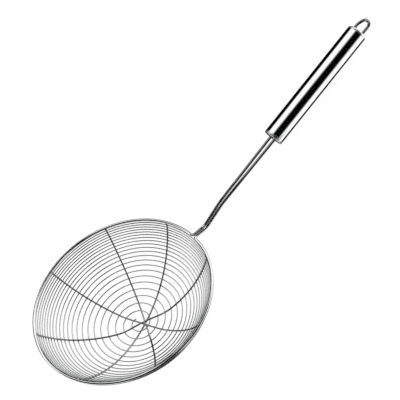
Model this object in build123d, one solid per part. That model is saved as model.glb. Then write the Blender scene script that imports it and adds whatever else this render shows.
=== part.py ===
from build123d import *

import math
import os

# Spider skimmer: a round wire bowl on a tubular handle, all of polished stainless steel.
# It is built with the rim level, its centre at the origin, +Z out of the bowl and +X towards
# the handle. At the end it is laid down as it lies on a table, on the bowl and the handle's end.
# All lengths are in millimetres and all angles in degrees.

# Rim wire: the ring and the two tails that run on as the neck.
rim_outer_diameter = 145.0
rim_wire_diameter = 2.3
tail_bend_radius = 2.8
tail_touch_gap = 0.04
neck_level_run = 12.2
neck_rise_run = 20.0
neck_rise_angle = 28.0
neck_rise_bend_radius = 16.0
neck_top_bend_radius = 60.0
neck_upper_run = 65.9
tail_spread = 4.6
tail_anchor_length = 16.0

# Bowl: a cap of a sphere that the ribs follow.
bowl_depth = 45.0
rib_wire_diameter = 1.3
rib_lift_run = 24.0
rib_stack_gap = 0.07
wire_gap = 0.03
rib_end_gap = 0.08
mesh_rim_gap = 0.1
# Each rib: the rim azimuths of its two ends, and where it crosses the middle of the bowl, as
# shares of the rim's radius. They stand from the lowest to the highest where they cross.
rib_end_azimuths = ((23.7, 208.2), (67.9, 254.3), (114.0, 296.7), (160.2, 341.4))
rib_crossing_shares = ((0.031, -0.022), (0.047, -0.027), (0.021, -0.029), (0.041, -0.031))
# Places along half a rib, as shares of the way from the crossing to the rim.
rib_place_shares = (0.0, 0.09, 0.17, 0.255, 0.34, 0.5, 0.67, 0.84)

# Mesh wire: a spiral under the ribs. Its pitch falls from the middle to the rim.
mesh_wire_diameter = 0.85
mesh_start_azimuth = 85.0
mesh_start_arc = 4.5
mesh_pitch_inner = 7.5
mesh_pitch_middle = 2.15
mesh_pitch_outer = 2.0
mesh_centre_shift_shares = (-0.005, 0.062)
mesh_span_angle = 150.0
tangent_step_share = 0.001

# Handle: a tube with a cap in each end.
handle_angle = 19.3
handle_length = 99.8
handle_diameter = 16.0
handle_wall = 0.8
cap_wall = 0.6
cap_fit = 0.05
cap_spigot_length = 5.0
front_cap_lip = 1.9
front_cap_rounding = 0.7
rear_cap_lip = 2.3
rear_cap_rounding = 1.8
wire_hole_fit = 0.1

# Hanging loop: a U of wire out of the rear cap.
loop_wire_diameter = 2.3
loop_half_width = 4.8
loop_reach = 13.3
loop_anchor_length = 9.0
loop_shoulder_height_share = 0.62
loop_shoulder_width_share = 0.46
loop_shoulder_radius = 8.0
loop_tip_radius = 3.2
loop_corner_radius = 4.2

# Weld beads.
rib_bead_radius = 0.95
rib_bead_inset = 0.5
neck_bead_radius = 0.75
neck_bead_inset = 0.2
anchor_bead_width = 0.55
anchor_bead_height = 1.0
bead_gap = 0.02

# Worked-out sizes.
rim_radius = (rim_outer_diameter - rim_wire_diameter) / 2
rim_wire_radius = rim_wire_diameter / 2
rib_wire_radius = rib_wire_diameter / 2
mesh_wire_radius = mesh_wire_diameter / 2
loop_wire_radius = loop_wire_diameter / 2
handle_radius = handle_diameter / 2
handle_bore_radius = handle_radius - handle_wall
cap_spigot_radius = handle_bore_radius - cap_fit
cap_hollow_radius = cap_spigot_radius - cap_wall
bowl_radius = (rim_radius**2 + bowl_depth**2) / (2 * bowl_depth)
bowl_centre_height = bowl_radius - bowl_depth
mesh_radius = bowl_radius + rib_wire_radius + mesh_wire_radius + wire_gap
rib_layer_height = rib_wire_diameter + rib_stack_gap
quarter_turn = 90.0
full_turn = 360.0


def on_bowl(x, y, sphere_radius):
    """A point of a sphere about the bowl's centre, below the given plan point."""
    drop = math.sqrt(sphere_radius**2 - x**2 - y**2)
    return Vector(x, y, bowl_centre_height - drop)


def polar(radius, azimuth):
    """The plan coordinates of a point at a radius and an azimuth."""
    return radius * math.cos(math.radians(azimuth)), radius * math.sin(math.radians(azimuth))


def tube_along(edges, diameter):
    """A round wire of one diameter along joined edges."""
    route = Wire(edges)
    section = Plane(origin=route @ 0, z_dir=route % 0) * Circle(diameter / 2)
    return sweep(section, path=route)


def rounded_route(corners, radii):
    """Straight runs between corners, each inner corner rounded by an arc of its own radius."""
    edges = []
    start = corners[0]
    for before, corner, after, radius in zip(corners, corners[1:], corners[2:], radii):
        incoming = (corner - before).normalized()
        outgoing = (after - corner).normalized()
        half_turn = math.radians(incoming.get_angle(outgoing)) / 2
        cut_back = radius * math.tan(half_turn)
        inward = (outgoing - incoming).normalized()
        middle = corner + inward * (radius / math.cos(half_turn) - radius)
        arc_start = corner - incoming * cut_back
        arc_end = corner + outgoing * cut_back
        edges.append(Line(start, arc_start))
        edges.append(ThreePointArc(arc_start, middle, arc_end))
        start = arc_end
    edges.append(Line(start, corners[-1]))
    return edges


def biarc(start, start_tangent, end, end_tangent):
    """Two tangent arcs that join two points with the given directions."""
    across = end - start
    together = start_tangent + end_tangent
    bend = 2 * (1 - start_tangent.dot(end_tangent))
    reach = across.dot(together)
    arm = (math.sqrt(reach**2 + bend * across.dot(across)) - reach) / bend
    joint = (start + end + (start_tangent - end_tangent) * arm) / 2
    joint_tangent = (across - together * arm).normalized()
    return [
        TangentArc(start, joint, tangent=start_tangent),
        TangentArc(joint, end, tangent=joint_tangent),
    ]


def smooth_route(place, stations, step):
    """Biarcs through the points of a curve, with the curve's own directions there."""
    points = [place(station) for station in stations]
    tangents = [(place(s + step) - place(s - step)).normalized() for s in stations]
    edges = []
    for here, after in zip(range(len(stations) - 1), range(1, len(stations))):
        edges += biarc(points[here], tangents[here], points[after], tangents[after])
    return edges


# Rim wire. In plan each tail is one straight line that spreads from its neighbour.
neck_half_gap = rim_wire_radius + tail_touch_gap / 2
neck_rise_x = rim_radius + neck_level_run
neck_top_x = neck_rise_x + neck_rise_run
neck_top_z = neck_rise_run * math.tan(math.radians(neck_rise_angle))
handle_cos = math.cos(math.radians(handle_angle))
handle_sin = math.sin(math.radians(handle_angle))
handle_front_x = neck_top_x + neck_upper_run * handle_cos
handle_front_z = neck_top_z + neck_upper_run * handle_sin
tail_slope = (tail_spread / 2 - neck_half_gap) / (handle_front_x - rim_radius)


# Each tail leaves the ring round a small bend, which touches both.
tail_way = Vector(1, tail_slope, 0).normalized()
tail_outwards = Vector(-tail_way.Y, tail_way.X, 0)
bend_foot = Vector(rim_radius, neck_half_gap, 0) + tail_outwards * tail_bend_radius
bend_reach = bend_foot.dot(tail_way)
bend_distance = rim_radius + tail_bend_radius
bend_slide = math.sqrt(bend_reach**2 + bend_distance**2 - bend_foot.dot(bend_foot)) - bend_reach
bend_centre = bend_foot + tail_way * bend_slide
tail_start = bend_centre - tail_outwards * tail_bend_radius
neck_rise_cut_back = neck_rise_bend_radius * math.tan(math.radians(neck_rise_angle) / 2)


def tail_y(x):
    """How far a tail's centre line stands from the middle plane."""
    return neck_half_gap + (x - rim_radius) * tail_slope


def rim_wire():
    """The ring and its two tails, as one wire."""
    on_ring = bend_centre.normalized() * rim_radius
    middle_way = ((on_ring - bend_centre).normalized() - tail_outwards).normalized()
    bend_middle = bend_centre + middle_way * tail_bend_radius
    anchor_x = handle_front_x + tail_anchor_length * handle_cos
    corners = [
        tail_start,
        Vector(neck_rise_x, tail_y(neck_rise_x), 0),
        Vector(neck_top_x, tail_y(neck_top_x), neck_top_z),
        Vector(anchor_x, tail_y(anchor_x), handle_front_z + tail_anchor_length * handle_sin),
    ]

    def other_side(point):
        return Vector(point.X, -point.Y, point.Z)

    radii = [neck_rise_bend_radius, neck_top_bend_radius]
    ring_back = Vector(-rim_radius, 0, 0)
    edges = rounded_route([other_side(corner) for corner in corners][::-1], radii[::-1])
    edges.append(ThreePointArc(other_side(tail_start), other_side(bend_middle), other_side(on_ring)))
    edges.append(ThreePointArc(other_side(on_ring), ring_back, on_ring))
    edges.append(ThreePointArc(on_ring, bend_middle, tail_start))
    edges += rounded_route(corners, radii)
    return tube_along(edges, rim_wire_diameter)


# Ribs. Each follows the bowl and rises over the ribs below it where they cross.
rim_polar_angle = math.asin(rim_radius / bowl_radius)
rib_end_angle = rim_polar_angle - (rim_wire_radius + rib_end_gap) / bowl_radius
rib_end_share = math.sin(rib_end_angle) / math.sin(rim_polar_angle)


def rib_place(layer):
    """The centre line of one rib, from -1 at one rim end to 1 at the other."""
    cross_x, cross_y = (share * rim_radius for share in rib_crossing_shares[layer])

    def place(share):
        azimuth = rib_end_azimuths[layer][1 if share > 0 else 0]
        rim_x, rim_y = polar(rim_radius, azimuth)
        part = abs(share)
        x = cross_x * (1 - part) + rim_x * part
        y = cross_y * (1 - part) + rim_y * part
        base = on_bowl(x, y, bowl_radius)
        away = min(math.hypot(x - cross_x, y - cross_y) / rib_lift_run, 1)
        rise = layer * rib_layer_height * math.cos(math.radians(quarter_turn * away)) ** 2
        inward = (Vector(0, 0, bowl_centre_height) - base).normalized()
        return base + inward * rise

    return place


def rib_wire(layer):
    """One rib from rim to rim."""
    half = list(rib_place_shares) + [rib_end_share]
    stations = [-share for share in half[:0:-1]] + half
    return tube_along(smooth_route(rib_place(layer), stations, tangent_step_share), rib_wire_diameter)


# Mesh wire.
mesh_seat = rim_wire_radius + mesh_wire_radius + mesh_rim_gap
mesh_end_drop = math.sqrt(mesh_seat**2 - (mesh_radius - bowl_radius) ** 2)
mesh_end_arc = mesh_radius * rim_polar_angle - mesh_end_drop
mesh_mean_pitch = (mesh_pitch_inner + mesh_pitch_middle + mesh_pitch_outer) / 3
mesh_turns = (mesh_end_arc - mesh_start_arc) / mesh_mean_pitch


def mesh_arc(turn):
    """How far the mesh wire has come from the bowl's middle, along the bowl, after some turns."""
    share = turn / mesh_turns
    inner = mesh_pitch_inner * (1 - (1 - share) ** 3) / 3
    middle = mesh_pitch_middle * (share**2 - 2 * share**3 / 3)
    outer = mesh_pitch_outer * share**3 / 3
    return mesh_start_arc + mesh_turns * (inner + middle + outer)


def mesh_place(turn):
    """A point of the mesh wire's centre line after a number of turns."""
    radius = mesh_radius * math.sin(mesh_arc(turn) / mesh_radius)
    x, y = polar(radius, mesh_start_azimuth + full_turn * turn)
    shift_x, shift_y = (share * (rim_radius - radius) for share in mesh_centre_shift_shares)
    return on_bowl(x + shift_x, y + shift_y, mesh_radius)


def mesh_stations():
    """The turns at which the biarcs meet, all the same share of a turn apart."""
    spans = math.ceil(mesh_turns * full_turn / mesh_span_angle)
    return [mesh_turns * span / spans for span in range(spans + 1)]


def mesh_wire():
    """The whole spiral, as one unbroken wire."""
    return tube_along(smooth_route(mesh_place, mesh_stations(), tangent_step_share), mesh_wire_diameter)


def mesh_self_gap():
    """The least gap between one turn of the mesh wire and the next."""
    per_turn = 72
    nearby = 6
    points = [mesh_place(step / per_turn) for step in range(int(mesh_turns * per_turn) + 1)]
    gaps = [
        (points[here] - points[there]).length - mesh_wire_diameter
        for here in range(len(points) - per_turn)
        for there in range(here + per_turn - nearby, min(here + per_turn + nearby, len(points)))
    ]
    return min(gaps)


# Handle. Its own frame has Z along the tube to the rear and X across the middle plane.
handle_frame = Plane(
    origin=(handle_front_x, 0, handle_front_z),
    x_dir=(0, 1, 0),
    z_dir=(handle_cos, 0, handle_sin),
)
from_front = (Align.CENTER, Align.CENTER, Align.MIN)
to_front = (Align.CENTER, Align.CENTER, Align.MAX)


def handle_tube():
    """The open tube."""
    outside = Cylinder(handle_radius, handle_length, align=from_front)
    bore = Cylinder(handle_bore_radius, handle_length, align=from_front)
    return handle_frame * (outside - bore)


def end_cap(lip, rounding, hole_places, hole_radius):
    """A cap in the front end of a tube that starts at the origin: a rounded lip and a hollow spigot."""
    lid = Cylinder(handle_radius, lip, align=to_front)
    lid = fillet(lid.edges().sort_by(Axis.Z)[0], rounding)
    spigot = Cylinder(cap_spigot_radius, cap_spigot_length, align=from_front)
    hollow = Cylinder(cap_hollow_radius, cap_spigot_length, align=from_front)
    cap = lid + (spigot - hollow)
    for place in hole_places:
        cap -= Pos(place, 0, 0) * Cylinder(hole_radius, 2 * (lip + cap_spigot_length))
    return cap


def anchor_beads(wire_radius, places):
    """A weld bead round each wire on the inside of a cap."""
    bead = Cone(
        wire_radius + anchor_bead_width,
        wire_radius + anchor_bead_width / 2,
        anchor_bead_height,
        align=from_front,
    )
    room = Cylinder(cap_hollow_radius - bead_gap, anchor_bead_height, align=from_front)
    wire = Cylinder(wire_radius + wire_hole_fit, anchor_bead_height, align=from_front)
    beads = Part() + [Pos(place, 0, 0) * bead for place in places]
    beads = room & beads
    for place in places:
        beads -= Pos(place, 0, 0) * wire
    return Pos(0, 0, bead_gap) * Compound(children=beads.solids())


rear_frame = handle_frame * Location((0, 0, handle_length), (180, 0, 0))
tail_places = (-tail_spread / 2, tail_spread / 2)
loop_places = (-loop_half_width, loop_half_width)


def hanging_loop():
    """The U of wire, with its legs through the rear cap."""
    root = handle_length - loop_anchor_length
    tip = handle_length + loop_reach
    shoulder = handle_length + loop_reach * loop_shoulder_height_share
    corners = [
        Vector(loop_half_width, 0, root),
        Vector(loop_half_width, 0, shoulder),
        Vector(loop_half_width * loop_shoulder_width_share, 0, tip),
        Vector(-loop_half_width, 0, tip),
        Vector(-loop_half_width, 0, root),
    ]
    radii = [loop_shoulder_radius, loop_tip_radius, loop_corner_radius]
    return handle_frame * tube_along(rounded_route(corners, radii), loop_wire_diameter)


# Weld beads between wires.
def rib_weld_beads():
    """A bead inside each rib's end, against the rim."""
    rim = Torus(rim_radius, rim_wire_radius + bead_gap)
    beads = []
    for layer in range(len(rib_end_azimuths)):
        place = rib_place(layer)
        for side in (-1, 1):
            end = place(side * rib_end_share)
            before = place(side * rib_place_shares[-1])
            inward = (Vector(0, 0, bowl_centre_height) - end).normalized()
            reach = 2 * rib_bead_radius
            rib_frame = Plane(origin=end, x_dir=-inward, z_dir=end - before)
            bead_frame = Plane(origin=end + inward * rib_bead_inset, x_dir=before - end, z_dir=inward)
            bead = bead_frame * Sphere(rib_bead_radius)
            bead -= rib_frame * Cylinder(rib_wire_radius + bead_gap, 2 * reach)
            bead -= rim
            beads += bead.solids()
    return Compound(children=beads)


def neck_weld_beads():
    """The beads above and below, in the valley where the two tails lie side by side."""
    start = tail_start.X + neck_bead_inset
    length = neck_rise_x - neck_rise_cut_back - neck_bead_inset - start
    beads = []
    for side in (-1, 1):
        height = side * neck_bead_radius
        bead = Plane(origin=(start, 0, height), z_dir=(1, 0, 0)) * Cylinder(
            neck_bead_radius, length, align=from_front
        )
        for way in (-1, 1):
            tail_frame = Plane(origin=(rim_radius, way * neck_half_gap, 0), z_dir=(1, way * tail_slope, 0))
            bead -= tail_frame * Cylinder(rim_wire_radius + bead_gap, 2 * neck_level_run, align=from_front)
        beads += bead.solids()
    return Compound(children=beads)


# The rest pose: the line that touches the bowl and the rear cap's edge becomes the table.
bowl_outside_radius = mesh_radius + mesh_wire_radius
edge_along = handle_length + rear_cap_lip - rear_cap_rounding
edge_below = handle_radius - rear_cap_rounding
edge_x = handle_front_x + edge_along * handle_cos + edge_below * handle_sin
edge_z = handle_front_z + edge_along * handle_sin - edge_below * handle_cos
edge_rise = edge_z - bowl_centre_height
edge_distance = math.hypot(edge_x, edge_rise)
rest_tilt = math.degrees(
    math.atan2(edge_rise, edge_x) + math.asin((bowl_outside_radius - rear_cap_rounding) / edge_distance)
)

nodes = {
    "rim_wire": rim_wire(),
    "mesh_wire": mesh_wire(),
    "handle_tube": handle_tube(),
    "front_cap": handle_frame * end_cap(
        front_cap_lip, front_cap_rounding, tail_places, rim_wire_radius + wire_hole_fit
    ),
    "rear_cap": rear_frame * end_cap(
        rear_cap_lip, rear_cap_rounding, loop_places, loop_wire_radius + wire_hole_fit
    ),
    "hanging_loop": hanging_loop(),
    "tail_weld_beads": handle_frame * anchor_beads(rim_wire_radius, tail_places),
    "loop_weld_beads": rear_frame * anchor_beads(loop_wire_radius, loop_places),
    "rib_weld_beads": rib_weld_beads(),
    "neck_weld_beads": neck_weld_beads(),
}
for layer in range(len(rib_end_azimuths)):
    nodes[f"rib_wire_{layer + 1}"] = rib_wire(layer)

# Lay it down, then bring the middle of its length and its lowest point to the origin.
laid_down = {name: Rot(0, rest_tilt, 0) * node for name, node in nodes.items()}
front_reach = laid_down["rim_wire"].bounding_box().min.X
front_reach = min(front_reach, laid_down["mesh_wire"].bounding_box().min.X)
rear_reach = laid_down["hanging_loop"].bounding_box().max.X
tilt_cos = math.cos(math.radians(rest_tilt))
table_height = bowl_centre_height * tilt_cos - bowl_outside_radius
home = Pos(-(front_reach + rear_reach) / 2, 0, -table_height)

os.makedirs("parts", exist_ok=True)
for name, node in laid_down.items():
    export_step(home * node, f"parts/{name}.step")

print(f"mesh turns {mesh_turns:.2f}, least gap between turns {mesh_self_gap():.2f} mm")
print(f"rest tilt {rest_tilt:.2f} degrees")
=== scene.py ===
"""Looks of a spider skimmer of polished stainless steel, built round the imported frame.

The skimmer has a round wire bowl, a twin-wire neck, a tubular handle and a hanging loop. Each
sub-assembly is a class that holds its sizes, builds its meshes and dresses them. Shapes are
worked out with the rim level and its centre at the origin, and are then laid on the table.
"""

import logging
import math
from collections.abc import Callable, Sequence
from dataclasses import dataclass, replace
from enum import Enum

import bmesh
import bpy
from mathutils import Matrix, Vector

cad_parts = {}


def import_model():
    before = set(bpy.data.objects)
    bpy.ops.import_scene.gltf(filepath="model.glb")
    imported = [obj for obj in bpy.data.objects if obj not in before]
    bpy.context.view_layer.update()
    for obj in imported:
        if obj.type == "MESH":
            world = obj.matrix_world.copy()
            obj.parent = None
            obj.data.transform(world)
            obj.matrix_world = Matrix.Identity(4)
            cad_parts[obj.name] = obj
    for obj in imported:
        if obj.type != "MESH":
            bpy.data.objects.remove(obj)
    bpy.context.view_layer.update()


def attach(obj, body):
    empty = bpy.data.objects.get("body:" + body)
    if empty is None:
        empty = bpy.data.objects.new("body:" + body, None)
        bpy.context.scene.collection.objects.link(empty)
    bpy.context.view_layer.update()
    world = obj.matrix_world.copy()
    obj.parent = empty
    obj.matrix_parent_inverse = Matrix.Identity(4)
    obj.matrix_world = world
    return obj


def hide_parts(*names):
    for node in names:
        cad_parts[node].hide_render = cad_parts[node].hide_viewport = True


LOG = logging.getLogger("skimmer")
MM = 0.001
MERGE_DISTANCE = 0.001 * MM
BODY = "root"

Socket = bpy.types.NodeSocket
Station = Callable[[float], Vector]


class Slot(Enum):
    """The material slots that the pieces are logged under."""

    WIRE = "polished_wire"
    TUBE = "polished_tube"
    WELD = "weld"


class Marks(Enum):
    """Where a finish's fine marks run."""

    ALONG_WIRE = "along_wire"
    ROUND_TUBE = "round_tube"
    ALL_OVER = "all_over"


@dataclass(frozen=True)
class TreeBuilder:
    """Adds nodes to a geometry, shader or world tree and joins them."""

    tree: bpy.types.NodeTree

    def add(self, kind: str, **settings: object) -> bpy.types.Node:
        """Add one node.

        Args:
            kind: the node's type.
            settings: the node's own settings, by name.

        Returns:
            The new node.
        """
        node = self.tree.nodes.new(kind)
        for name, value in settings.items():
            setattr(node, name, value)
        return node

    def link(self, source: Socket, target: Socket) -> None:
        """Join an output to an input."""
        self.tree.links.new(source, target)

    def link_all(self, *pairs: tuple[Socket, Socket]) -> None:
        """Join each pair's output to its input."""
        for source, target in pairs:
            self.link(source, target)

    def math(self, operation: str, first: object, second: object = None) -> Socket:
        """Add one math node.

        Args:
            operation: the operation's name.
            first: a socket or a number.
            second: a socket or a number, where the operation has two inputs.

        Returns:
            The node's value output.
        """
        node = self.add("ShaderNodeMath", operation=operation)
        for place, value in enumerate((first, second)):
            if isinstance(value, Socket):
                self.link(value, node.inputs[place])
            elif value is not None:
                node.inputs[place].default_value = value
        return node.outputs[0]

    def smooth_step(
        self, value: Socket, ends: tuple[float, float], results: tuple[float, float]
    ) -> Socket:
        """Add a smooth map from one range to another.

        Args:
            value: the socket to map.
            ends: where the range starts and ends.
            results: what the map gives there.

        Returns:
            The mapped value.
        """
        node = self.add("ShaderNodeMapRange", interpolation_type="SMOOTHSTEP")
        names = ("From Min", "From Max", "To Min", "To Max")
        for name, number in zip(names, ends + results):
            node.inputs[name].default_value = number
        self.link(value, node.inputs["Value"])
        return node.outputs["Result"]


def new_tree(name: str, kind: str, sockets: Sequence[tuple[str, str, str]]) -> bpy.types.NodeTree:
    """Make an empty node group with named inputs and outputs.

    Args:
        name: the group's name.
        kind: the group's type.
        sockets: for each socket its name, "INPUT" or "OUTPUT", and its type.

    Returns:
        The node group.
    """
    tree = bpy.data.node_groups.new(name, kind)
    for socket_name, way, socket_kind in sockets:
        tree.interface.new_socket(name=socket_name, in_out=way, socket_type=socket_kind)
    return tree


# Sizes and routes.


@dataclass(frozen=True)
class RestPose:
    """How the skimmer lies: turned about its width, then brought over the table's origin."""

    tilt: float = 22.9668
    length_shift: float = 106.097 * MM
    table_height: float = -49.2303 * MM

    def lay(self, point: Vector) -> Vector:
        """Move a point from the rim's frame to the table's frame."""
        cosine, sine = math.cos(math.radians(self.tilt)), math.sin(math.radians(self.tilt))
        return Vector(
            (
                cosine * point.x + sine * point.z - self.length_shift,
                point.y,
                cosine * point.z - sine * point.x - self.table_height,
            )
        )

    def turn(self, direction: Vector) -> Vector:
        """Turn a direction from the rim's frame to the table's frame."""
        return self.lay(direction) - self.lay(Vector((0, 0, 0)))


@dataclass(frozen=True)
class RimSizes:
    """The rim wire: its ring, and the tails that run on as the neck.

    The drawn radius is a hair smaller than the wire's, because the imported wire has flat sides
    and the ring has to stay inside its box.
    """

    ring_radius: float = 71.35 * MM
    wire_radius: float = 1.15 * MM
    drawn_radius: float = 1.12 * MM
    bend_radius: float = 2.8 * MM
    touch_gap: float = 0.04 * MM
    level_run: float = 12.2 * MM
    rise_run: float = 20.0 * MM
    rise_angle: float = 28.0
    rise_bend: float = 16.0 * MM
    top_bend: float = 60.0 * MM
    upper_run: float = 65.9 * MM
    spread: float = 4.6 * MM
    anchor: float = 16.0 * MM

    def neck_top(self) -> tuple[float, float]:
        """Give the length and height at which the rise meets the line of the handle."""
        height = self.rise_run * math.tan(math.radians(self.rise_angle))
        return self.ring_radius + self.level_run + self.rise_run, height

    def on_handle_line(self, angle: float, run: float) -> tuple[float, float]:
        """Give the length and height of a place on the line of the handle.

        Args:
            angle: the line's angle in degrees.
            run: how far the place is past the neck's top.

        Returns:
            The length and the height.
        """
        top_x, top_z = self.neck_top()
        turned = math.radians(angle)
        return top_x + run * math.cos(turned), top_z + run * math.sin(turned)


@dataclass(frozen=True)
class HandleSizes:
    """The tube, its caps and the hanging loop."""

    angle: float = 19.3
    length: float = 99.8 * MM
    radius: float = 8.0 * MM
    wall: float = 0.8 * MM
    edge: float = 0.12 * MM
    loop_radius: float = 1.15 * MM
    loop_half_width: float = 4.8 * MM
    loop_reach: float = 13.3 * MM
    loop_anchor: float = 9.0 * MM
    shoulder_height_share: float = 0.62
    shoulder_width_share: float = 0.46
    loop_bends: tuple[float, ...] = (8.0 * MM, 3.2 * MM, 4.2 * MM)


@dataclass(frozen=True)
class BowlSizes:
    """The ribs and the spiral under them, on a cap of a sphere."""

    depth: float = 45.0 * MM
    rib_radius: float = 0.65 * MM
    rib_gap: float = 0.08 * MM
    layer_height: float = 1.37 * MM
    lift_run: float = 24.0 * MM
    rib_ends: tuple[tuple[float, float], ...] = (
        (23.7, 208.2),
        (67.9, 254.3),
        (114.0, 296.7),
        (160.2, 341.4),
    )
    crossing_shares: tuple[tuple[float, float], ...] = (
        (0.031, -0.022),
        (0.047, -0.027),
        (0.021, -0.029),
        (0.041, -0.031),
    )
    mesh_wire_radius: float = 0.425 * MM
    wire_gap: float = 0.03 * MM
    start_azimuth: float = 85.0
    start_arc: float = 4.5 * MM
    pitches: tuple[float, float, float] = (7.5 * MM, 2.15 * MM, 2.0 * MM)
    shift_shares: tuple[float, float] = (-0.005, 0.062)
    seat_gap: float = 0.1 * MM


def axes_matrix(first: Vector, second: Vector, third: Vector, origin: Vector) -> Matrix:
    """Make the matrix of a frame from its three axes and its origin."""
    columns = (first, second, third)
    turned = Matrix([[column[row] for column in columns] for row in range(3)]).to_4x4()
    return Matrix.Translation(origin) @ turned


def placed(name: str, data: bpy.types.ID) -> bpy.types.Object:
    """Make an object of its data and put it in the scene."""
    made = bpy.data.objects.new(name, data)
    bpy.context.scene.collection.objects.link(made)
    return made


def polar(radius: float, azimuth: float) -> tuple[float, float]:
    """Give the plan coordinates of a point at a radius and an azimuth in degrees."""
    return radius * math.cos(math.radians(azimuth)), radius * math.sin(math.radians(azimuth))


def arc_between(start: Vector, middle: Vector, end: Vector, steps: int) -> list[Vector]:
    """Sample the circular arc through three points.

    Args:
        start: where the arc starts.
        middle: a point on it.
        end: where it ends.
        steps: how many steps to divide it into.

    Returns:
        The points, with both ends.
    """
    first, second = middle - start, end - start
    normal = first.cross(second)
    centre = start + (
        second.cross(normal) * -first.length_squared + first.cross(normal) * second.length_squared
    ) / (-2 * normal.length_squared)
    axis = normal.normalized()
    across = start - centre
    turned = axis.cross(across)
    finish = end - centre
    angle = math.atan2(finish.dot(turned), finish.dot(across)) % math.tau
    return [
        centre + across * math.cos(angle * step / steps) + turned * math.sin(angle * step / steps)
        for step in range(steps + 1)
    ]


def rounded_route(
    corners: Sequence[Vector], radii: Sequence[float], steps: int = 18
) -> list[Vector]:
    """Join corners by straight runs, each inner corner rounded by its own radius.

    Args:
        corners: the route's corners, with both ends.
        radii: one radius for each inner corner.
        steps: how many steps each arc has.

    Returns:
        The route's points.
    """
    points = [corners[0]]
    for before, corner, after, radius in zip(corners, corners[1:], corners[2:], radii):
        incoming = (corner - before).normalized()
        outgoing = (after - corner).normalized()
        half_turn = incoming.angle(outgoing) / 2
        cut_back = radius * math.tan(half_turn)
        inward = (outgoing - incoming).normalized()
        middle = corner + inward * (radius / math.cos(half_turn) - radius)
        points += arc_between(
            corner - incoming * cut_back, middle, corner + outgoing * cut_back, steps
        )
    return points + [corners[-1]]


def divided(points: Sequence[Vector], step: float) -> list[Vector]:
    """Divide the long runs of a route, so that its marks and shading stay even.

    Args:
        points: the route's points.
        step: the longest run that stays whole.

    Returns:
        The route with points added on its long runs.
    """
    result = [points[0]]
    for start, end in zip(points, points[1:]):
        count = max(1, math.ceil((end - start).length / step))
        result += [start.lerp(end, share / count) for share in range(1, count + 1)]
    return result


# Wires: one geometry tree makes them all.


@dataclass(frozen=True)
class WireTree:
    """The geometry tree that turns a path of edges into a round wire with its own coordinates.

    The attribute run is the length along the wire, and section is the place in its section.
    """

    name: str = "wire_along_path"

    def build(self) -> bpy.types.NodeTree:
        """Build the tree, or give the one already built."""
        if self.name in bpy.data.node_groups:
            return bpy.data.node_groups[self.name]
        tree = new_tree(
            self.name,
            "GeometryNodeTree",
            (
                ("Path", "INPUT", "NodeSocketGeometry"),
                ("Wire Radius", "INPUT", "NodeSocketFloat"),
                ("Sides", "INPUT", "NodeSocketInt"),
                ("Finish", "INPUT", "NodeSocketMaterial"),
                ("Wire", "OUTPUT", "NodeSocketGeometry"),
            ),
        )
        make = TreeBuilder(tree)
        start, end = make.add("NodeGroupInput"), make.add("NodeGroupOutput")
        curve = make.add("GeometryNodeMeshToCurve")
        along = make.add("GeometryNodeSplineParameter")
        run = make.add("GeometryNodeStoreNamedAttribute", data_type="FLOAT", domain="POINT")
        run.inputs["Name"].default_value = "run"
        circle = make.add("GeometryNodeCurvePrimitiveCircle", mode="RADIUS")
        place = make.add("GeometryNodeInputPosition")
        section = make.add(
            "GeometryNodeStoreNamedAttribute", data_type="FLOAT_VECTOR", domain="POINT"
        )
        section.inputs["Name"].default_value = "section"
        sweep = make.add("GeometryNodeCurveToMesh")
        sweep.inputs["Fill Caps"].default_value = True
        smooth = make.add("GeometryNodeSetShadeSmooth")
        real = make.add("GeometryNodeRealizeInstances")
        finish = make.add("GeometryNodeSetMaterial")
        make.link_all(
            (start.outputs["Path"], curve.inputs["Mesh"]),
            (curve.outputs["Curve"], run.inputs["Geometry"]),
            (along.outputs["Length"], run.inputs["Value"]),
            (start.outputs["Wire Radius"], circle.inputs["Radius"]),
            (start.outputs["Sides"], circle.inputs["Resolution"]),
            (circle.outputs["Curve"], section.inputs["Geometry"]),
            (place.outputs["Position"], section.inputs["Value"]),
            (run.outputs["Geometry"], sweep.inputs["Curve"]),
            (section.outputs["Geometry"], sweep.inputs["Profile Curve"]),
            (sweep.outputs["Mesh"], smooth.inputs["Geometry"]),
            (smooth.outputs["Geometry"], real.inputs["Geometry"]),
            (real.outputs["Geometry"], finish.inputs["Geometry"]),
            (start.outputs["Finish"], finish.inputs["Material"]),
            (finish.outputs["Geometry"], end.inputs["Wire"]),
        )
        return tree


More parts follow.
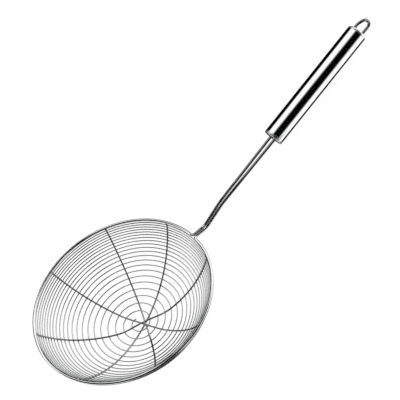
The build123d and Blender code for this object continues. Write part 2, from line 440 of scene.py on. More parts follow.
@dataclass(frozen=True)
class SpotTree:
    """The geometry tree that sets a flattened weld spot on each point, along its own normal."""

    name: str = "weld_spot_on_point"
    seed: int = 7
    sides: int = 10
    rings: int = 6
    size_spread: float = 0.18

    def build(self) -> bpy.types.NodeTree:
        """Build the tree."""
        tree = new_tree(
            self.name,
            "GeometryNodeTree",
            (
                ("Points", "INPUT", "NodeSocketGeometry"),
                ("Spot Radius", "INPUT", "NodeSocketFloat"),
                ("Flatness", "INPUT", "NodeSocketFloat"),
                ("Finish", "INPUT", "NodeSocketMaterial"),
                ("Spots", "OUTPUT", "NodeSocketGeometry"),
            ),
        )
        make = TreeBuilder(tree)
        start, end = make.add("NodeGroupInput"), make.add("NodeGroupOutput")
        ball = make.add("GeometryNodeMeshUVSphere")
        ball.inputs["Segments"].default_value = self.sides
        ball.inputs["Rings"].default_value = self.rings
        normal = make.add("GeometryNodeInputNamedAttribute", data_type="FLOAT_VECTOR")
        normal.inputs["Name"].default_value = "spot_normal"
        align = make.add("FunctionNodeAlignEulerToVector", axis="Z")
        flat = make.add("ShaderNodeCombineXYZ")
        flat.inputs["X"].default_value = 1.0
        flat.inputs["Y"].default_value = 1.0
        spread = make.add("FunctionNodeRandomValue", data_type="FLOAT")
        spread.inputs["Min"].default_value = 1 - self.size_spread
        spread.inputs["Max"].default_value = 1 + self.size_spread
        spread.inputs["Seed"].default_value = self.seed
        scale = make.add("ShaderNodeVectorMath", operation="SCALE")
        place = make.add("GeometryNodeInstanceOnPoints")
        real = make.add("GeometryNodeRealizeInstances")
        smooth = make.add("GeometryNodeSetShadeSmooth")
        finish = make.add("GeometryNodeSetMaterial")
        make.link_all(
            (start.outputs["Spot Radius"], ball.inputs["Radius"]),
            (start.outputs["Flatness"], flat.inputs["Z"]),
            (flat.outputs["Vector"], scale.inputs[0]),
            (spread.outputs["Value"], scale.inputs["Scale"]),
            (normal.outputs["Attribute"], align.inputs["Vector"]),
            (start.outputs["Points"], place.inputs["Points"]),
            (ball.outputs["Mesh"], place.inputs["Instance"]),
            (align.outputs["Rotation"], place.inputs["Rotation"]),
            (scale.outputs["Vector"], place.inputs["Scale"]),
            (place.outputs["Instances"], real.inputs["Geometry"]),
            (real.outputs["Geometry"], smooth.inputs["Geometry"]),
            (smooth.outputs["Geometry"], finish.inputs["Geometry"]),
            (start.outputs["Finish"], finish.inputs["Material"]),
            (finish.outputs["Geometry"], end.inputs["Spots"]),
        )
        return tree


def grown(
    name: str, points: bpy.types.Mesh, tree: bpy.types.NodeTree, values: dict[str, object]
) -> bpy.types.Object:
    """Run a geometry tree on a mesh and keep its result as a plain mesh.

    Args:
        name: the piece's name.
        points: the mesh that the tree starts from.
        tree: the geometry tree.
        values: the tree's inputs by name.

    Returns:
        The finished object, at the origin and with no modifier.
    """
    piece = placed(name, points)
    modifier = piece.modifiers.new(tree.name, "NODES")
    modifier.node_group = tree
    for item in tree.interface.items_tree:
        if item.item_type == "SOCKET" and item.in_out == "INPUT" and item.name in values:
            modifier[item.identifier] = values[item.name]
    depsgraph = bpy.context.evaluated_depsgraph_get()
    mesh = bpy.data.meshes.new_from_object(
        piece.evaluated_get(depsgraph), preserve_all_data_layers=True, depsgraph=depsgraph
    )
    piece.modifiers.clear()
    piece.data = mesh
    mesh.name = name
    return piece


def wire_piece(
    name: str, route: Sequence[Vector], radius: float, sides: int, finish: bpy.types.Material
) -> bpy.types.Object:
    """Make a round wire along a route.

    Args:
        name: the piece's name.
        route: the centre line, in the table's frame.
        radius: the wire's radius.
        sides: how many sides its section has.
        finish: its material.

    Returns:
        The wire.
    """
    path = bpy.data.meshes.new(f"{name}_path")
    path.from_pydata(route, [(place, place + 1) for place in range(len(route) - 1)], [])
    values = {"Wire Radius": radius, "Sides": sides, "Finish": finish}
    return grown(name, path, WireTree().build(), values)


def join_and_smooth(shape: bmesh.types.BMesh, crease: float) -> None:
    """Join a closed shape's faces, turn them outwards and smooth them between creases.

    Args:
        shape: the shape.
        crease: the angle, in degrees, past which an edge stays sharp.
    """
    bmesh.ops.remove_doubles(shape, verts=shape.verts, dist=MERGE_DISTANCE)
    bmesh.ops.recalc_face_normals(shape, faces=shape.faces)
    for edge in shape.edges:
        edge.smooth = not edge.is_manifold or edge.calc_face_angle(0) < math.radians(crease)
    for face in shape.faces:
        face.smooth = True


def smoothed_copy(
    name: str, node: str, finish: bpy.types.Material, crease: float = 35.0
) -> bpy.types.Object:
    """Make a piece of a node's own shape, with joined faces and smooth shading between creases.

    Args:
        name: the piece's name.
        node: the node whose shape it has.
        finish: its material.
        crease: the angle, in degrees, past which an edge stays sharp.

    Returns:
        The piece.
    """
    mesh = bpy.data.objects[node].data.copy()
    mesh.name = name
    shape = bmesh.new()
    shape.from_mesh(mesh)
    join_and_smooth(shape, crease)
    shape.to_mesh(mesh)
    shape.free()
    if "custom_normal" in mesh.attributes:
        mesh.attributes.remove(mesh.attributes["custom_normal"])
    mesh.materials.clear()
    mesh.materials.append(finish)
    return placed(name, mesh)


def seat(piece: bpy.types.Object, slot: Slot, *nodes: str) -> None:
    """Let a piece ride on the body, log its slot and hide the nodes that it stands for.

    Args:
        piece: the finished piece.
        slot: the material slot that is logged for it.
        nodes: the nodes that it replaces, if any.
    """
    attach(piece, BODY)
    if nodes:
        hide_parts(*nodes)
    triangles = sum(len(face.vertices) - 2 for face in piece.data.polygons)
    LOG.info("%s: %d triangles, slot %s, for %s", piece.name, triangles, slot.value, nodes)


# Finishes.


@dataclass(frozen=True)
class FineMarks:
    """The shader group of fine drawn or buffed lines, built once and used by every finish."""

    name: str = "fine_marks"
    line_detail: float = 3.0
    smudge_detail: float = 2.0
    line_share: float = 0.5

    def build(self) -> bpy.types.NodeTree:
        """Build the group, or give the one already built."""
        if self.name in bpy.data.node_groups:
            return bpy.data.node_groups[self.name]
        tree = new_tree(
            self.name,
            "ShaderNodeTree",
            (
                ("Place", "INPUT", "NodeSocketVector"),
                ("Line Scale", "INPUT", "NodeSocketFloat"),
                ("Smudge Scale", "INPUT", "NodeSocketFloat"),
                ("Roughness Low", "INPUT", "NodeSocketFloat"),
                ("Roughness High", "INPUT", "NodeSocketFloat"),
                ("Tone Low", "INPUT", "NodeSocketColor"),
                ("Tone High", "INPUT", "NodeSocketColor"),
                ("Roughness", "OUTPUT", "NodeSocketFloat"),
                ("Tone", "OUTPUT", "NodeSocketColor"),
                ("Height", "OUTPUT", "NodeSocketFloat"),
            ),
        )
        make = TreeBuilder(tree)
        start, end = make.add("NodeGroupInput"), make.add("NodeGroupOutput")
        lines = make.add("ShaderNodeTexNoise", noise_dimensions="3D")
        lines.inputs["Detail"].default_value = self.line_detail
        smudge = make.add("ShaderNodeTexNoise", noise_dimensions="3D")
        smudge.inputs["Detail"].default_value = self.smudge_detail
        rough = make.add("ShaderNodeMix", data_type="FLOAT")
        tone = make.add("ShaderNodeMix", data_type="RGBA")
        blend = make.math("MULTIPLY_ADD", lines.outputs["Fac"], self.line_share)
        rest = make.math("MULTIPLY", smudge.outputs["Fac"], 1 - self.line_share)
        make.link(rest, blend.node.inputs[2])
        make.link_all(
            (start.outputs["Place"], lines.inputs["Vector"]),
            (start.outputs["Line Scale"], lines.inputs["Scale"]),
            (start.outputs["Place"], smudge.inputs["Vector"]),
            (start.outputs["Smudge Scale"], smudge.inputs["Scale"]),
            (blend, rough.inputs["Factor"]),
            (start.outputs["Roughness Low"], rough.inputs["A"]),
            (start.outputs["Roughness High"], rough.inputs["B"]),
            (smudge.outputs["Fac"], tone.inputs["Factor"]),
            (start.outputs["Tone Low"], tone.inputs["A"]),
            (start.outputs["Tone High"], tone.inputs["B"]),
            (rough.outputs["Result"], end.inputs["Roughness"]),
            (tone.outputs["Result"], end.inputs["Tone"]),
            (lines.outputs["Fac"], end.inputs["Height"]),
        )
        return tree


@dataclass(frozen=True)
class SteelFinish:
    """A stainless steel surface with its own tone, gloss and fine marks."""

    name: str
    tone_low: tuple[float, float, float]
    tone_high: tuple[float, float, float]
    roughness: tuple[float, float]
    marks: Marks = Marks.ALONG_WIRE
    line_scale: float = 4000.0
    smudge_scale: float = 300.0
    bump_strength: float = 0.05
    bump_distance: float = 0.01 * MM
    stretch: float = 0.03
    # These three fields paint shade into the tone: it darkens from part way up the neck to the
    # loop.
    painted_shade_from: float | None = None
    painted_shade_fade: float = 30 * MM
    painted_shade_tone: float = 1.0

    def place(self, make: TreeBuilder, lean: float) -> Socket:
        """Make the coordinates that the marks follow.

        Args:
            make: the material's tree.
            lean: the angle of the handle over the table, in degrees.

        Returns:
            The coordinates' socket.
        """
        if self.marks is Marks.ALONG_WIRE:
            section = make.add("ShaderNodeAttribute", attribute_name="section")
            run = make.add("ShaderNodeAttribute", attribute_name="run")
            split = make.add("ShaderNodeSeparateXYZ")
            join = make.add("ShaderNodeCombineXYZ")
            make.link(section.outputs["Vector"], split.inputs["Vector"])
            make.link(split.outputs["X"], join.inputs["X"])
            make.link(split.outputs["Y"], join.inputs["Y"])
            make.link(make.math("MULTIPLY", run.outputs["Fac"], self.stretch), join.inputs["Z"])
            return join.outputs["Vector"]
        own = make.add("ShaderNodeTexCoord")
        if self.marks is Marks.ALL_OVER:
            return own.outputs["Object"]
        turn = make.add("ShaderNodeMapping", vector_type="POINT")
        turn.inputs["Rotation"].default_value = (0.0, math.radians(lean), 0.0)
        turn.inputs["Scale"].default_value = (1.0, self.stretch, self.stretch)
        make.link(own.outputs["Object"], turn.inputs["Vector"])
        return turn.outputs["Vector"]

    def paint_shade_on_neck_and_loop(self, make: TreeBuilder, tone: Socket) -> Socket:
        """Paint shade into the tone along the skimmer, from part way up the neck to the loop.

        Args:
            make: the material's tree.
            tone: the tone before.

        Returns:
            The darkened tone.
        """
        own = make.add("ShaderNodeTexCoord")
        split = make.add("ShaderNodeSeparateXYZ")
        make.link(own.outputs["Object"], split.inputs["Vector"])
        ends = (self.painted_shade_from, self.painted_shade_from + self.painted_shade_fade)
        share = make.smooth_step(split.outputs["X"], ends, (1.0, self.painted_shade_tone))
        scale = make.add("ShaderNodeVectorMath", operation="SCALE")
        make.link(tone, scale.inputs[0])
        make.link(share, scale.inputs["Scale"])
        return scale.outputs["Vector"]

    def build(self, lean: float) -> bpy.types.Material:
        """Build the material.

        Args:
            lean: the angle of the handle over the table, in degrees.

        Returns:
            The material.
        """
        material = bpy.data.materials.new(self.name)
        material.use_nodes = True
        material.node_tree.nodes.clear()
        make = TreeBuilder(material.node_tree)
        output = make.add("ShaderNodeOutputMaterial")
        shader = make.add("ShaderNodeBsdfPrincipled")
        shader.inputs["Metallic"].default_value = 1.0
        marks = make.add("ShaderNodeGroup", node_tree=FineMarks().build())
        for socket, value in (
            ("Line Scale", self.line_scale),
            ("Smudge Scale", self.smudge_scale),
            ("Roughness Low", self.roughness[0]),
            ("Roughness High", self.roughness[1]),
            ("Tone Low", (*self.tone_low, 1.0)),
            ("Tone High", (*self.tone_high, 1.0)),
        ):
            marks.inputs[socket].default_value = value
        tone = marks.outputs["Tone"]
        # Painted shade: the tone is darkened along the neck and the loop.
        if self.painted_shade_from is not None:
            tone = self.paint_shade_on_neck_and_loop(make, tone)
        bump = make.add("ShaderNodeBump")
        bump.inputs["Strength"].default_value = self.bump_strength
        bump.inputs["Distance"].default_value = self.bump_distance
        make.link_all(
            (self.place(make, lean), marks.inputs["Place"]),
            (marks.outputs["Roughness"], shader.inputs["Roughness"]),
            (tone, shader.inputs["Base Color"]),
            (marks.outputs["Height"], bump.inputs["Height"]),
            (bump.outputs["Normal"], shader.inputs["Normal"]),
            (shader.outputs["BSDF"], output.inputs["Surface"]),
        )
        return material


FRAME_WIRE = SteelFinish(
    name="frame_wire_polish",
    tone_low=(0.72, 0.724, 0.73),
    tone_high=(0.86, 0.864, 0.87),
    roughness=(0.02, 0.06),
    # The neck and the loop get painted shade: their tone falls to 0.35.
    painted_shade_from=-12.0 * MM,
    painted_shade_tone=0.35,
)
# The ribs are the same steel as the frame wire; their much lower tone is darker reflection
# painted into their colour.
RIB_WIRE = SteelFinish(
    name="rib_wire_polish",
    tone_low=(0.34, 0.344, 0.35),
    tone_high=(0.48, 0.484, 0.49),
    roughness=(0.03, 0.08),
)
# The spiral is the same steel as the frame wire; its lower tone is darker reflection painted into
# its colour.
MESH_WIRE = SteelFinish(
    name="mesh_wire_polish",
    tone_low=(0.52, 0.524, 0.53),
    tone_high=(0.68, 0.684, 0.69),
    roughness=(0.05, 0.14),
)
BUFFED_TUBE = SteelFinish(
    name="buffed_tube_polish",
    marks=Marks.ROUND_TUBE,
    tone_low=(0.8, 0.805, 0.81),
    tone_high=(0.88, 0.885, 0.89),
    roughness=(0.03, 0.09),
    line_scale=3000.0,
    smudge_scale=90.0,
    bump_strength=0.02,
    stretch=0.04,
)
SATIN_CAP = replace(
    BUFFED_TUBE,
    name="satin_cap",
    tone_low=(0.9, 0.904, 0.91),
    tone_high=(0.96, 0.962, 0.965),
    roughness=(0.3, 0.42),
)
WELD_METAL = SteelFinish(
    name="weld_metal",
    marks=Marks.ALL_OVER,
    tone_low=(0.5, 0.48, 0.46),
    tone_high=(0.72, 0.71, 0.7),
    roughness=(0.18, 0.4),
    line_scale=2500.0,
    smudge_scale=900.0,
    bump_strength=0.3,
    bump_distance=0.05 * MM,
)


@dataclass(frozen=True)
class Finishes:
    """The skimmer's materials, built once."""

    frame: bpy.types.Material
    rib: bpy.types.Material
    mesh: bpy.types.Material
    tube: bpy.types.Material
    cap: bpy.types.Material
    weld: bpy.types.Material

    @classmethod
    def build(cls, lean: float) -> "Finishes":
        """Build every material.

        Args:
            lean: the angle of the handle over the table, in degrees.

        Returns:
            The materials.
        """
        order = (FRAME_WIRE, RIB_WIRE, MESH_WIRE, BUFFED_TUBE, SATIN_CAP, WELD_METAL)
        return cls(*(finish.build(lean) for finish in order))


# Sub-assemblies.


@dataclass(frozen=True)
class RimAndNeck:
    """The rim wire with its tails, and the welds that hold them."""

    pose: RestPose
    rim: RimSizes
    handle: HandleSizes
    finishes: Finishes
    sides: int = 28
    ring_steps: int = 360
    bend_steps: int = 16
    longest_run: float = 2 * MM

    def neck_corners(self) -> list[Vector]:
        """Give the corners of the left tail, from above the rim to inside the handle."""
        rim, angle = self.rim, self.handle.angle
        half_gap = rim.wire_radius + rim.touch_gap / 2
        front_x, _ = rim.on_handle_line(angle, rim.upper_run)
        slope = (rim.spread / 2 - half_gap) / (front_x - rim.ring_radius)
        places = (
            (rim.ring_radius, 0),
            (rim.ring_radius + rim.level_run, 0),
            rim.neck_top(),
            rim.on_handle_line(angle, rim.upper_run + rim.anchor),
        )
        return [Vector((x, half_gap + (x - rim.ring_radius) * slope, z)) for x, z in places]

    def route(self) -> list[Vector]:
        """Give the whole centre line: one tail, the ring and the other tail."""
        rim = self.rim
        corners = self.neck_corners()
        way = Vector((corners[1].x - corners[0].x, corners[1].y - corners[0].y, 0)).normalized()
        outwards = Vector((-way.y, way.x, 0))
        foot = corners[0] + outwards * rim.bend_radius
        reach = foot.dot(way)
        distance = rim.ring_radius + rim.bend_radius
        slide = math.sqrt(reach**2 + distance**2 - foot.length_squared) - reach
        centre = foot + way * slide
        on_ring = centre.normalized() * rim.ring_radius
        on_tail = centre - outwards * rim.bend_radius
        middle_way = ((on_ring - centre).normalized() - outwards).normalized()
        middle = centre + middle_way * rim.bend_radius
        bend = arc_between(on_ring, middle, on_tail, self.bend_steps)
        tail = rounded_route([on_tail, *corners[1:]], (rim.rise_bend, rim.top_bend))
        half = bend[:-1] + divided(tail, self.longest_run)
        mirrored = [Vector((point.x, -point.y, point.z)) for point in half]
        back = Vector((-rim.ring_radius, 0, 0))
        ring = arc_between(mirrored[0], back, half[0], self.ring_steps)
        return mirrored[:0:-1] + ring + half[1:]

    def build(self) -> None:
        """Build and dress the pieces."""
        route = [self.pose.lay(point) for point in self.route()]
        finish = self.finishes.frame
        wire = wire_piece("rim_and_neck", route, self.rim.drawn_radius, self.sides, finish)
        seat(wire, Slot.WIRE, "rim_wire")
        for name, node in (("neck_welds", "neck_weld_beads"), ("tail_welds", "tail_weld_beads")):
            seat(smoothed_copy(name, node, self.finishes.weld), Slot.WELD, node)


@dataclass(frozen=True)
class WireBowl:
    """The crossed ribs and the spiral wound under them."""

    pose: RestPose
    rim: RimSizes
    bowl: BowlSizes
    finishes: Finishes
    rib_sides: int = 18
    rib_steps: int = 120
    mesh_sides: int = 14
    steps_per_turn: int = 96
    spot_radius: float = 0.62 * MM
    spot_flatness: float = 0.55
    weld_reach: float = 0.1 * MM

    @property
    def sphere_radius(self) -> float:
        """The radius of the sphere that the ribs follow."""
        ring, depth = self.rim.ring_radius, self.bowl.depth
        return (ring**2 + depth**2) / (2 * depth)

    @property
    def sphere_height(self) -> float:
        """How far the sphere's centre is above the rim."""
        return self.sphere_radius - self.bowl.depth

    @property
    def rim_angle(self) -> float:
        """The angle at the sphere's centre between the bowl's middle and its rim."""
        return math.asin(self.rim.ring_radius / self.sphere_radius)

    def on_sphere(self, x: float, y: float, radius: float) -> Vector:
        """Give the point of a sphere about the bowl's centre, below a plan point."""
        return Vector((x, y, self.sphere_height - math.sqrt(radius**2 - x**2 - y**2)))

    def rib_end_share(self) -> float:
        """Give how far towards the rim the ribs run, as a share."""
        gap = self.rim.wire_radius + self.bowl.rib_gap
        return math.sin(self.rim_angle - gap / self.sphere_radius) / math.sin(self.rim_angle)

    def rib_lift(self, layer: int, distance: float) -> float:
        """Give how far a rib rises over the lower ribs.

        Args:
            layer: how many ribs lie below it.
            distance: how far the place is, in plan, from where it crosses them.

        Returns:
            The rise along the bowl's inward normal.
        """
        away = min(distance / self.bowl.lift_run, 1)
        return layer * self.bowl.layer_height * math.cos(math.pi / 2 * away) ** 2

    def rib_station(self, layer: int) -> Station:
        """Give the centre line of a rib, from -1 at one rim end to 1 at the other."""
        ring = self.rim.ring_radius
        cross_x, cross_y = (share * ring for share in self.bowl.crossing_shares[layer])

        def place(share: float) -> Vector:
            """Give one point of the rib."""
            rim_x, rim_y = polar(ring, self.bowl.rib_ends[layer][1 if share > 0 else 0])
            part = abs(share)
            x = cross_x * (1 - part) + rim_x * part
            y = cross_y * (1 - part) + rim_y * part
            base = self.on_sphere(x, y, self.sphere_radius)
            inward = (Vector((0, 0, self.sphere_height)) - base).normalized()
            return base + inward * self.rib_lift(layer, math.hypot(x - cross_x, y - cross_y))

        return place

    def spiral_radius(self) -> float:
        """Give the radius of the sphere that the spiral lies on."""
        bowl = self.bowl
        return self.sphere_radius + bowl.rib_radius + bowl.mesh_wire_radius + bowl.wire_gap

    def spiral_turns(self) -> float:
        """Give the number of turns that bring the spiral to its seat under the rim."""
        bowl, radius = self.bowl, self.spiral_radius()
        below = self.rim.wire_radius + bowl.mesh_wire_radius + bowl.seat_gap
        drop = math.sqrt(below**2 - (radius - self.sphere_radius) ** 2)
        length = radius * self.rim_angle - drop - bowl.start_arc
        return length / (sum(bowl.pitches) / 3)

    def spiral_station(self) -> Station:
        """Give the spiral's centre line by the number of turns from its inner end.

        Its pitch is a quadratic curve of the three pitches, and the arc is the curve's integral.
        """
        bowl, ring = self.bowl, self.rim.ring_radius
        turns, sphere = self.spiral_turns(), self.spiral_radius()
        inner_pitch, middle_pitch, outer_pitch = bowl.pitches

        def place(turn: float) -> Vector:
            """Give one point of the spiral."""
            share = turn / turns
            inner = inner_pitch * (1 - (1 - share) ** 3) / 3
            middle = middle_pitch * (share**2 - 2 * share**3 / 3)
            arc = bowl.start_arc + turns * (inner + middle + outer_pitch * share**3 / 3)
            radius = sphere * math.sin(arc / sphere)
            x, y = polar(radius, bowl.start_azimuth + 360 * turn)
            shift_x, shift_y = (part * (ring - radius) for part in bowl.shift_shares)
            return self.on_sphere(x + shift_x, y + shift_y, sphere)

        return place

    def crossings(self, spiral: Sequence[Vector]) -> list[tuple[Vector, Vector]]:
        """Find where the spiral is welded to the ribs.

        Args:
            spiral: the spiral's centre line, with the rim level.

        Returns:
            For each weld its place and the bowl's outward normal there.
        """
        found = []
        contact = self.sphere_radius + self.bowl.rib_radius
        for layer in range(len(self.bowl.rib_ends)):
            station = self.rib_station(layer)
            hub = station(0)
            for side in (-1, 1):
                tip = station(side * self.rib_end_share())
                along_x, along_y = tip.x - hub.x, tip.y - hub.y
                sides = [(p.x - hub.x) * along_y - (p.y - hub.y) * along_x for p in spiral]
                for before, after, first, second in zip(spiral, spiral[1:], sides, sides[1:]):
                    if first * second > 0 or first == second:
                        continue
                    point = before.lerp(after, first / (first - second))
                    ahead = (point.x - hub.x) * along_x + (point.y - hub.y) * along_y
                    distance = math.hypot(point.x - hub.x, point.y - hub.y)
                    if ahead < 0 or self.rib_lift(layer, distance) > self.weld_reach:
                        continue
                    place = self.on_sphere(point.x, point.y, contact)
                    outward = place - Vector((0, 0, self.sphere_height))
                    found.append((place, outward.normalized()))
        return found

    def build_spots(self, spiral: Sequence[Vector]) -> None:
        """Build the weld spots between the spiral and the ribs.

        Args:
            spiral: the spiral's centre line, with the rim level.
        """
        spots = self.crossings(spiral)
        cloud = bpy.data.meshes.new("crossing_points")
        cloud.from_pydata([self.pose.lay(place) for place, _ in spots], [], [])
        normals = cloud.attributes.new("spot_normal", "FLOAT_VECTOR", "POINT")
        for item, (_, outward) in zip(normals.data, spots):
            item.vector = self.pose.turn(outward)
        values = {
            "Spot Radius": self.spot_radius,
            "Flatness": self.spot_flatness,
            "Finish": self.finishes.weld,
        }
        seat(grown("crossing_welds", cloud, SpotTree().build(), values), Slot.WELD)
        LOG.info("crossing welds: %d", len(spots))

    def build(self) -> None:
        """Build and dress the ribs, the spiral and their welds."""
        end = self.rib_end_share()
        for layer in range(len(self.bowl.rib_ends)):
            station = self.rib_station(layer)
            shares = [end * (2 * step / self.rib_steps - 1) for step in range(self.rib_steps + 1)]
            route = [self.pose.lay(station(share)) for share in shares]
            name = f"rib_{layer + 1}"
            rib = wire_piece(name, route, self.bowl.rib_radius, self.rib_sides, self.finishes.rib)
            seat(rib, Slot.WIRE, f"rib_wire_{layer + 1}")
        turns = self.spiral_turns()
        count = math.ceil(turns * self.steps_per_turn)
        place = self.spiral_station()
        spiral = [place(turns * step / count) for step in range(count + 1)]
        mesh = wire_piece(
            "spiral",
            [self.pose.lay(point) for point in spiral],
            self.bowl.mesh_wire_radius,
            self.mesh_sides,
            self.finishes.mesh,
        )
        seat(mesh, Slot.WIRE, "mesh_wire")
        self.build_spots(spiral)
        welds = smoothed_copy("rib_end_welds", "rib_weld_beads", self.finishes.weld)
        seat(welds, Slot.WELD, "rib_weld_beads")
        LOG.info("spiral turns: %.2f", turns)


@dataclass(frozen=True)
class Handle:
    """The tube, its two caps and the hanging loop."""

    pose: RestPose
    rim: RimSizes
    handle: HandleSizes
    finishes: Finishes
    tube_sides: int = 160
    tube_crease: float = 30.0
    loop_sides: int = 24
    bend_steps: int = 24
    longest_run: float = 1 * MM

    def frame(self) -> Matrix:
        """Give the tube's frame on the table: Z along it to the rear, X across it."""
        angle = math.radians(self.handle.angle)
        front_x, front_z = self.rim.on_handle_line(self.handle.angle, self.rim.upper_run)
        origin = self.pose.lay(Vector((front_x, 0, front_z)))
        along = self.pose.turn(Vector((math.cos(angle), 0, math.sin(angle))))
        across = Vector((0, 1, 0))
        return axes_matrix(across, along.cross(across), along, origin)

    def tube(self) -> bpy.types.Object:
        """Turn the tube from its section, with its edges broken."""
        handle = self.handle
        outer, inner, edge = handle.radius, handle.radius - handle.wall, handle.edge
        profile = (
            (outer - edge, 0.0),
            (outer, edge),
            (outer, handle.length - edge),
            (outer - edge, handle.length),
            (inner, handle.length),
            (inner, 0.0),
        )
        shape = bmesh.new()
        points = [shape.verts.new((radius, 0.0, height)) for radius, height in profile]
        edges = [shape.edges.new((a, b)) for a, b in zip(points, points[1:] + points[:1])]
        bmesh.ops.spin(
            shape,
            geom=points + edges,
            axis=(0, 0, 1),
            cent=(0, 0, 0),
            steps=self.tube_sides,
            angle=math.tau,
        )
        join_and_smooth(shape, self.tube_crease)
        shape.transform(self.frame())
        mesh = bpy.data.meshes.new("tube")
        shape.to_mesh(mesh)
        shape.free()
        mesh.materials.append(self.finishes.tube)
        return placed("tube", mesh)

    def loop_route(self) -> list[Vector]:
        """Give the hanging loop's centre line on the table."""
        handle, frame = self.handle, self.frame()
        half = handle.loop_half_width
        root, tip = handle.length - handle.loop_anchor, handle.length + handle.loop_reach
        shoulder = handle.length + handle.loop_reach * handle.shoulder_height_share
        corners = (
            (half, root),
            (half, shoulder),
            (half * handle.shoulder_width_share, tip),
            (-half, tip),
            (-half, root),
        )
        places = [Vector((x, 0, z)) for x, z in corners]
        route = rounded_route(places, handle.loop_bends, self.bend_steps)
        return [frame @ point for point in divided(route, self.longest_run)]

    def build(self) -> None:
        """Build and dress the pieces."""
        seat(self.tube(), Slot.TUBE, "handle_tube")
        for name, node in (("front_cap_shell", "front_cap"), ("rear_cap_shell", "rear_cap")):
            seat(smoothed_copy(name, node, self.finishes.cap), Slot.TUBE, node)
        radius, finish = self.handle.loop_radius, self.finishes.frame
        loop = wire_piece("hanging_eye", self.loop_route(), radius, self.loop_sides, finish)
        seat(loop, Slot.WIRE, "hanging_loop")
        welds = smoothed_copy("loop_welds", "loop_weld_beads", self.finishes.weld)
        seat(welds, Slot.WELD, "loop_weld_beads")


# The studio.


@dataclass(frozen=True)
class Window:
    """A soft-edged range of directions, by how far they point along the skimmer's length."""

    opens: float
    opened: float
    closes: float
    closed: float

    def build(self, make: TreeBuilder, length_share: Socket) -> Socket:
        """Build the mask, which is 1 inside the range.

        Args:
            make: the world's tree.
            length_share: the direction's X.

        Returns:
            The mask.
        """
        rising = make.smooth_step(length_share, (self.opens, self.opened), (0.0, 1.0))
        falling = make.smooth_step(length_share, (self.closes, self.closed), (1.0, 0.0))
        return make.math("MULTIPLY", rising, falling)


@dataclass(frozen=True)
class DarkCard:
    """A dark part of the room that only gloss sees: a soft-edged disc of directions.

    The card has no effect in its gap, which leaves room for the white bands on the handle.
    """

    direction: tuple[float, float, float]
    inner_angle: float
    outer_angle: float
    gap: Window | None = None

    def build(self, make: TreeBuilder, direction: Socket, length_share: Socket) -> Socket:
        """Build the card's shade, which is 0 where it is dark and 1 past its edge.

        Args:
            make: the world's tree.
            direction: the direction that is looked in.
            length_share: the direction's X.

        Returns:
            The shade.
        """
        dot = make.add("ShaderNodeVectorMath", operation="DOT_PRODUCT")
        dot.inputs[1].default_value = Vector(self.direction).normalized()
        make.link(direction, dot.inputs[0])
        edge = math.cos(math.radians(self.outer_angle))
        core = math.cos(math.radians(self.inner_angle))
        shade = make.smooth_step(dot.outputs["Value"], (edge, core), (1.0, 0.0))
        if self.gap is not None:
            shade = make.math("MAXIMUM", shade, self.gap.build(make, length_share))
        return shade


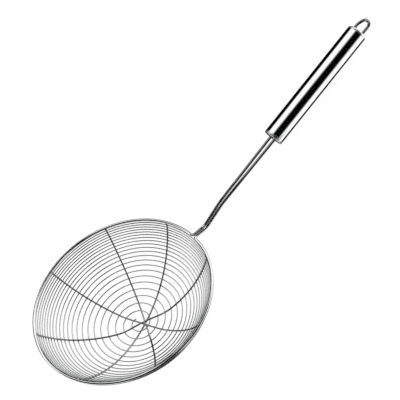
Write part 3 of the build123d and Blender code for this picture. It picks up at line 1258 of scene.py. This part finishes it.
@dataclass(frozen=True)
class Studio:
    """A pale floor, a soft white room with dark cards, and the camera of the photograph."""

    cards: tuple[DarkCard, ...] = (
        DarkCard((0.07, -0.80, 0.60), 29.0, 54.0),
        DarkCard((0.0, 0.961, -0.276), 52.0, 66.0),
        DarkCard((0.0, -0.05, -1.0), 20.0, 30.0),
        DarkCard((-0.05, -0.66, 0.75), 66.0, 84.0, gap=Window(0.07, 0.085, 0.335, 0.38)),
        DarkCard((-0.45, -0.5, -0.74), 20.0, 30.0),
    )
    gloss_white: float = 1.22
    floor_size: float = 6.0
    floor_white: float = 0.93
    floor_shade: float = 0.09
    camera_place: tuple[float, float, float] = (34.034 * MM, -366.097 * MM, 472.717 * MM)
    camera_forward: tuple[float, float, float] = (-0.082746, 0.644453, -0.760155)
    camera_up: tuple[float, float, float] = (0.804076, 0.493794, 0.331103)
    lens: float = 67.913
    sensor_width: float = 36.0
    clip_start: float = 0.01

    def world(self) -> None:
        """Build the room's light."""
        world = bpy.data.worlds.new("white_room")
        bpy.context.scene.world = world
        world.use_nodes = True
        world.node_tree.nodes.clear()
        make = TreeBuilder(world.node_tree)
        output = make.add("ShaderNodeOutputWorld")
        background = make.add("ShaderNodeBackground")
        direction = make.add("ShaderNodeTexCoord")
        split = make.add("ShaderNodeSeparateXYZ")
        make.link(direction.outputs["Generated"], split.inputs["Vector"])
        level = self.gloss_white
        for card in self.cards:
            shade = card.build(make, direction.outputs["Generated"], split.outputs["X"])
            level = make.math("MULTIPLY", shade, level)
        light = make.add("ShaderNodeLightPath")
        seen = make.add("ShaderNodeMix", data_type="FLOAT")
        seen.inputs["A"].default_value = 1.0
        make.link(light.outputs["Is Glossy Ray"], seen.inputs["Factor"])
        make.link(level, seen.inputs["B"])
        make.link(seen.outputs["Result"], background.inputs["Strength"])
        make.link(background.outputs["Background"], output.inputs["Surface"])
        background.inputs["Color"].default_value = (1.0, 1.0, 1.0, 1.0)

    def floor(self) -> None:
        """Build the floor: white to the camera, with the object's faint shadow."""
        half = self.floor_size / 2
        mesh = bpy.data.meshes.new("floor")
        corners = [(-half, -half, 0), (half, -half, 0), (half, half, 0), (-half, half, 0)]
        mesh.from_pydata(corners, [], [(0, 1, 2, 3)])
        floor = placed("floor", mesh)
        material = bpy.data.materials.new("white_floor")
        material.use_nodes = True
        material.node_tree.nodes.clear()
        make = TreeBuilder(material.node_tree)
        output = make.add("ShaderNodeOutputMaterial")
        glow = make.add("ShaderNodeEmission")
        shade = make.add("ShaderNodeBsdfDiffuse")
        grey = self.floor_shade
        shade.inputs["Color"].default_value = (grey, grey, grey, 1.0)
        both = make.add("ShaderNodeAddShader")
        light = make.add("ShaderNodeLightPath")
        glowing = make.math("MULTIPLY", light.outputs["Is Camera Ray"], self.floor_white)
        make.link_all(
            (glowing, glow.inputs["Strength"]),
            (glow.outputs["Emission"], both.inputs[0]),
            (shade.outputs["BSDF"], both.inputs[1]),
            (both.outputs["Shader"], output.inputs["Surface"]),
        )
        mesh.materials.append(material)
        floor.visible_glossy = False

    def camera(self) -> None:
        """Place the camera where the photograph was taken from."""
        data = bpy.data.cameras.new("photo_camera")
        data.lens = self.lens
        data.sensor_width = self.sensor_width
        data.clip_start = self.clip_start
        camera = placed("photo_camera", data)
        back = -Vector(self.camera_forward).normalized()
        up = Vector(self.camera_up)
        right = up.cross(back).normalized()
        place = Vector(self.camera_place)
        camera.matrix_world = axes_matrix(right, back.cross(right), back, place)
        bpy.context.scene.camera = camera

    def build(self) -> None:
        """Build the studio."""
        self.world()
        self.floor()
        self.camera()
        bpy.context.scene.view_settings.view_transform = "Standard"


def main() -> None:
    """Build the skimmer and its studio."""
    logging.basicConfig(level=logging.INFO, format="%(name)s: %(message)s")
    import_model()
    pose, rim, handle = RestPose(), RimSizes(), HandleSizes()
    finishes = Finishes.build(handle.angle - pose.tilt)
    RimAndNeck(pose, rim, handle, finishes).build()
    WireBowl(pose, rim, BowlSizes(), finishes).build()
    Handle(pose, rim, handle, finishes).build()
    Studio().build()


if __name__ == "__main__":
    main()
